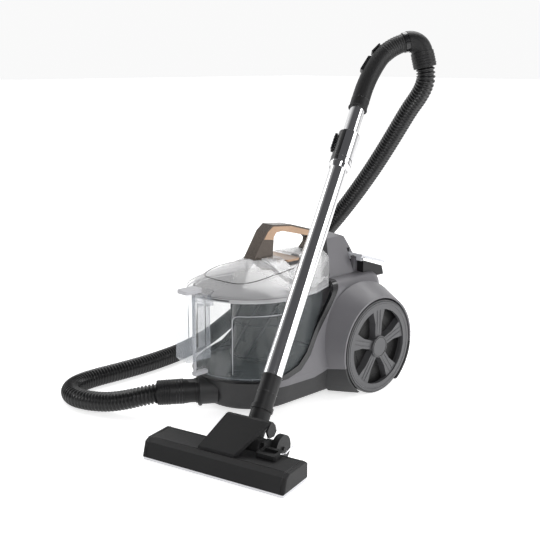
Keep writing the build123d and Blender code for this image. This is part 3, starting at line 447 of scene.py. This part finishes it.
def clamp_cover():
    """The black shell round the latch's side of the tube's clamp."""
    steps, half_turn = 24, 72  # degrees each side of the latch
    verts, faces = [], []
    for place in (0.4375, 0.5062):
        for radius in (0.0206, 0.0213):
            for k in range(steps + 1):
                g = math.radians(-half_turn + 2 * half_turn * k / steps)
                verts.append(wand_at(place) - B * (radius * math.cos(g)) + CROSS * (radius * math.sin(g)))
    n = steps + 1
    for k in range(steps):
        low_in, low_out, top_in, top_out = k, n + k, 2 * n + k, 3 * n + k
        faces += [(low_out, low_out + 1, top_out + 1, top_out), (low_in, top_in, top_in + 1, low_in + 1),
                  (low_in, low_in + 1, low_out + 1, low_out), (top_in, top_out, top_out + 1, top_in + 1)]
    for k in (0, steps):
        faces.append((k, n + k, 3 * n + k, 2 * n + k))
    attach(new_mesh("clamp_cover", verts, faces, GLOSS, smooth=False), "canister")


grip_pad()
clamp_cover()

# ---- cyclone: slanting ridges round the shroud, and its bands
CYCLONE_Y = -0.085
RIDGE_R = 0.0612
RIDGE_FOOT, RIDGE_RISE = 0.104, 0.118
RIDGE_TWIST = 1.15  # radians from foot to top
RIDGES, RIDGE_STEPS = 10, 14
for k in range(RIDGES):
    turn = 2 * math.pi * k / RIDGES
    ridge = []
    for j in range(RIDGE_STEPS + 1):
        t = j / RIDGE_STEPS
        angle = turn + RIDGE_TWIST * t
        ridge.append((RIDGE_R * math.cos(angle), CYCLONE_Y + RIDGE_R * math.sin(angle),
                      RIDGE_FOOT + RIDGE_RISE * t))
    bar(f"cyclone_ridge_{k}", ridge, 0.0022, GLOSS, "dust_bin", sides=8)
for z in (0.1, 0.168, 0.232):
    torus(f"cyclone_band_{round(z * MM)}", (0, CYCLONE_Y, z), UP, 0.0606, 0.0014, GLOSS, "dust_bin")

# ---- bin: lines at its rim and foot, the window's outline, the handle's slots, and the lid's rim
BIN_R = 0.115
BIN_Y = -0.115
BIN_REAR = 0.046
BIN_FLANK = [(0.108, -0.05), (0.088, 0.004), (0.056, 0.040)]  # from the round nose back to the tower


def plan_line(grow, z):
    """The bin's outline, grown, as a closed line at one height."""
    r = BIN_R + grow
    steps = 48
    pts = []
    for k in range(steps + 1):
        t = math.pi + math.pi * k / steps
        pts.append((r * math.cos(t), BIN_Y + r * math.sin(t), z))
    for x, y in BIN_FLANK:
        pts.append((x + grow * 0.93, y + grow * 0.2, z))
    pts.append((0.04, BIN_REAR + grow * 0.3, z))
    pts.append((-0.04, BIN_REAR + grow * 0.3, z))
    for x, y in BIN_FLANK[::-1]:
        pts.append((-x - grow * 0.93, y + grow * 0.2, z))
    return pts + [pts[0]]


bar("bin_rim_line", plan_line(0.0004, 0.2365), 0.0011, CLEARH, "dust_bin", sides=6)
bar("bin_foot_line", plan_line(0.0002, 0.084), 0.0012, CLEARH, "dust_bin", sides=6)

# the window's outline up one side: degrees round the bin from its flank, and height in millimetres
WINDOW = [(-60, z) for z in (92, 120, 150, 180, 201)] + [(-58.6, 207), (-55, 210)]
WINDOW += [(g, 210) for g in range(-50, 1, 5)]
WINDOW_R = 0.1154
SLOT_X = 0.0121
for hand, side in HANDS:
    window = [(side * WINDOW_R * math.cos(math.radians(g)), BIN_Y + WINDOW_R * math.sin(math.radians(g)),
               z / MM) for g, z in WINDOW]
    bar(f"bin_window_line_{hand}", window, 0.0009, LIGHT, "dust_bin", sides=8)
    for end, y in (("rear", -0.2434), ("front", -0.2656)):
        bar(f"handle_slot_line_{hand}_{end}", [(side * SLOT_X, y, z) for z in (0.138, 0.165, 0.2, 0.227)],
            0.0007, CYCLONE, "dust_bin", sides=6)
bar("lid_rim_bead", plan_line(0.0118, 0.2395), 0.0013, MILKY, "lid", sides=6)
bar("lid_rim_groove", plan_line(0.0121, 0.2465), 0.0005, RUBBER, "lid", sides=6)

# ---- lid: the outline of its front cover, and the round rim of the cyclone's outlet under it
LID = NODES["bin_lid"]
LID_INV = LID.matrix_world.inverted()
ABOVE = 0.5  # a height over everything on the lid


def on_lid(x, y, lift=0.0001):
    """The point on the lid's outer surface over one place, in metres."""
    hit = LID.ray_cast(LID_INV @ Vector((x, y, ABOVE)), LID_INV.to_3x3() @ Vector((0, 0, -1)))
    return LID.matrix_world @ hit[1] + Vector((0, 0, lift))


# half of the cover's outline in millimetres, from its rear corner to the front
COVER = [(65, -53), (70, -100), (74, -142), (67, -172), (53, -192), (31, -201), (4, -204)]
COVER = COVER + [(-x, y) for x, y in COVER[::-1]]
cover_line = [on_lid(p.x, p.y) for p in spline_points([(x, y, 0) for x, y in COVER], 8)]
bar("lid_cover_line", cover_line, 0.0008, CYCLONE, "lid", sides=8)
torus("outlet_rim", (0, BIN_Y, 0.2445), UP, 0.057, 0.0013, CYCLONE, "lid", seg=72)

# ---- copper bands on both cheeks of the carrying handle's bow, and the pedal pods' dark cheeks
# (outlines as y, z in millimetres)
BOW = [(-91, 336), (-81, 349.6), (-66, 359.4), (-16, 354.4), (51, 335.2), (51, 327), (43, 326.2),
       (-40, 347.2), (-57, 346.2), (-64, 338.2), (-65, 332)]
BOW_CHEEK, BOW_BAND = 0.0150, 0.0155  # the cheek's place and the band's outer face
POD_SKIN = [(149.6, 229), (149.6, 265.6), (212.4, 245.1), (218.4, 226)]
POD_NEAR, POD_FAR = 0.0276, 0.0704  # the inner and the outer cheek
for hand, side in HANDS:
    plate(f"bow_band_{hand}", BOW, side * BOW_CHEEK, side * BOW_BAND, COPPER, "lid")
    plate(f"pod_skin_{hand}", POD_SKIN, side * POD_NEAR, side * POD_FAR, SOFTBLACK, "canister")

# ---- drive wheels: a dark disc with rings behind the spokes, two lines down each spoke, hub and rim rings
AXLE_Y, AXLE_Z = 0.11, 0.1
DISC_X, SPOKE_X, HUB_X, RIM_X = 0.1336, 0.1503, 0.1552, 0.1527  # distances from the canister's mid-plane
HUB_R, DISC_R, RIM_R = 0.0205, 0.0878, 0.0915
SPOKES = 5
LINE_OFF = 0.0045  # from the spoke's middle
# the wheels are named as the canister's own left and right, so the left one is at +X
for body, sx in (("left_wheel", 1), ("right_wheel", -1)):
    disc(f"{body}_dark_disc", (sx * DISC_X, AXLE_Y, AXLE_Z), (sx, 0, 0), HUB_R, DISC_R, WELL, body)
    for k, r in enumerate((0.034, 0.052, 0.07)):
        torus(f"{body}_disc_ring_{k}", (sx * DISC_X, AXLE_Y, AXLE_Z), (1, 0, 0), r, 0.0007, WELL, body,
              seg=64, ring=8)
    for k in range(SPOKES):
        t = math.radians(90 + 360 // SPOKES * k)
        for mark, off in (("a", -LINE_OFF), ("b", LINE_OFF)):
            pts = [(sx * SPOKE_X, AXLE_Y + r * math.cos(t) - off * math.sin(t),
                    AXLE_Z + r * math.sin(t) + off * math.cos(t)) for r in (0.027, 0.045, 0.065, 0.084)]
            bar(f"{body}_spoke_line_{k}_{mark}", pts, 0.0009, WHEELM, body, sides=8)
    torus(f"{body}_hub_ring", (sx * HUB_X, AXLE_Y, AXLE_Z), (1, 0, 0), HUB_R, 0.0007, GLOSS, body)
    torus(f"{body}_rim_ring", (sx * RIM_X, AXLE_Y, AXLE_Z), (1, 0, 0), RIM_R, 0.0013, WHEELM, body, seg=96)

# ---- floor head: two lines along the shell and one round each end cap, in the head's own millimetres
HEAD_O = Vector((0.2256, -0.4107, 0))
HEAD_YAW = math.radians(15)
HX = Vector((math.cos(HEAD_YAW), math.sin(HEAD_YAW), 0))
HY = Vector((-HX.y, HX.x, 0))
SHELL_LINE_Z = 37.1
CAP_LINE = ((-0.2, 6), (7.8, 32), (18, 37.2), (45, 37.2), (72, 37.2), (79.2, 32), (79.2, 6))


def head_at(x, y, z):
    """A place on the floor head: x along it, y to its rear."""
    return HEAD_O + HX * (x / MM) + HY * (y / MM) + Vector((0, 0, z / MM))


for end, y in (("front", 19.5), ("rear", 70)):
    bar(f"shell_{end}_line", [head_at(x, y, SHELL_LINE_Z) for x in range(-136, 131, 19)], 0.0006, GLOSS,
        "head", sides=6)
for x in (-141, 133):
    bar(f"cap_line_{x + 200}", [head_at(x, *q) for q in CAP_LINE], 0.0005, GLOSS, "head", sides=6)

# ---- floor
FLOOR_SIZE = 60
FLOOR_GLOW = 0.66  # keeps the floor near white away from the lamps
bpy.ops.mesh.primitive_plane_add(size=1, location=(0, 0, 0))
floor = bpy.context.object
floor.scale = (FLOOR_SIZE, FLOOR_SIZE, 1)
pale = material("floor_white", (0.86, 0.86, 0.86), 0.7, vary=0.01, bump=0.0, patch=2)
pale.node_tree.nodes["Principled BSDF"].inputs["Emission Color"].default_value = (1, 1, 1, 1)
pale.node_tree.nodes["Principled BSDF"].inputs["Emission Strength"].default_value = FLOOR_GLOW
floor.data.materials.append(pale)


# ---- light: a world that is dark on the camera's side and bright behind the object, and four lamps
def studio_world(bright_side, dark_until, bright_from, dark, bright, strength):
    """A world that goes from dark to bright towards one direction."""
    world = bpy.data.worlds.new("studio")
    scene.world = world
    world.use_nodes = True
    sky = world.node_tree
    where = sky.nodes.new("ShaderNodeTexCoord")
    toward = sky.nodes.new("ShaderNodeVectorMath")
    toward.operation = "DOT_PRODUCT"
    toward.inputs[1].default_value = bright_side
    spread = sky.nodes.new("ShaderNodeMapRange")
    spread.inputs["From Min"].default_value = dark_until
    spread.inputs["From Max"].default_value = bright_from
    tone = sky.nodes.new("ShaderNodeMix")
    tone.data_type = "RGBA"
    tone.inputs["A"].default_value = dark
    tone.inputs["B"].default_value = bright
    sky.links.new(where.outputs["Generated"], toward.inputs[0])
    sky.links.new(toward.outputs["Value"], spread.inputs["Value"])
    sky.links.new(spread.outputs["Result"], tone.inputs["Factor"])
    sky.links.new(tone.outputs["Result"], sky.nodes["Background"].inputs["Color"])
    sky.nodes["Background"].inputs["Strength"].default_value = strength


def area(name, place, aim, size, power, size_y=None):
    """An area lamp that looks at one point."""
    lamp = bpy.data.lights.new(name, "AREA")
    lamp.energy = power
    lamp.size = size
    if size_y:
        lamp.shape = "RECTANGLE"
        lamp.size_y = size_y
    o = bpy.data.objects.new(name, lamp)
    scene.collection.objects.link(o)
    o.location = place
    o.rotation_mode = "QUATERNION"
    o.rotation_quaternion = (Vector(aim) - Vector(place)).to_track_quat("-Z", "Y")


studio_world((-0.724, 0.690, 0.0), -0.15, 0.55, (0.10, 0.10, 0.105, 1), (1.0, 1.0, 1.0, 1), 0.95)
area("key", (2.3, -1.7, 1.7), (0.0, 0.0, 0.2), 1.2, 34)
area("right_fill", (2.3, 1.25, 1.1), (0.1, 0.0, 0.2), 1.6, 36, 2.0)
area("left_strip", (-2.2, -0.8, 1.2), (0.0, 0.0, 0.25), 0.6, 16, 2.0)
area("back_top", (-0.5, 1.3, 2.5), (0.0, 0.0, 0.3), 1.6, 34)

# ---- camera: at the photograph's viewing angle, solved from the object's standard sizes
AZIMUTH, ELEVATION = math.radians(46.4), math.radians(13.0)
CAMERA_AT = (1.310, -1.308, 0.684)
SENSOR = 36
FOCAL = 906.0 / 540  # in widths of the square picture
back = Vector((math.sin(AZIMUTH) * math.cos(ELEVATION), -math.cos(AZIMUTH) * math.cos(ELEVATION),
               math.sin(ELEVATION)))
right = Vector((math.cos(AZIMUTH), math.sin(AZIMUTH), 0))
cam_data = bpy.data.cameras.new("camera")
cam_data.sensor_width = SENSOR
cam_data.lens = FOCAL * SENSOR
cam_data.clip_end = 50
cam = bpy.data.objects.new("camera", cam_data)
scene.collection.objects.link(cam)
rot = Matrix((right, back.cross(right), back)).transposed()
cam.matrix_world = Matrix.Translation(CAMERA_AT) @ rot.to_4x4()
scene.camera = cam
scene.view_settings.view_transform = "Standard"
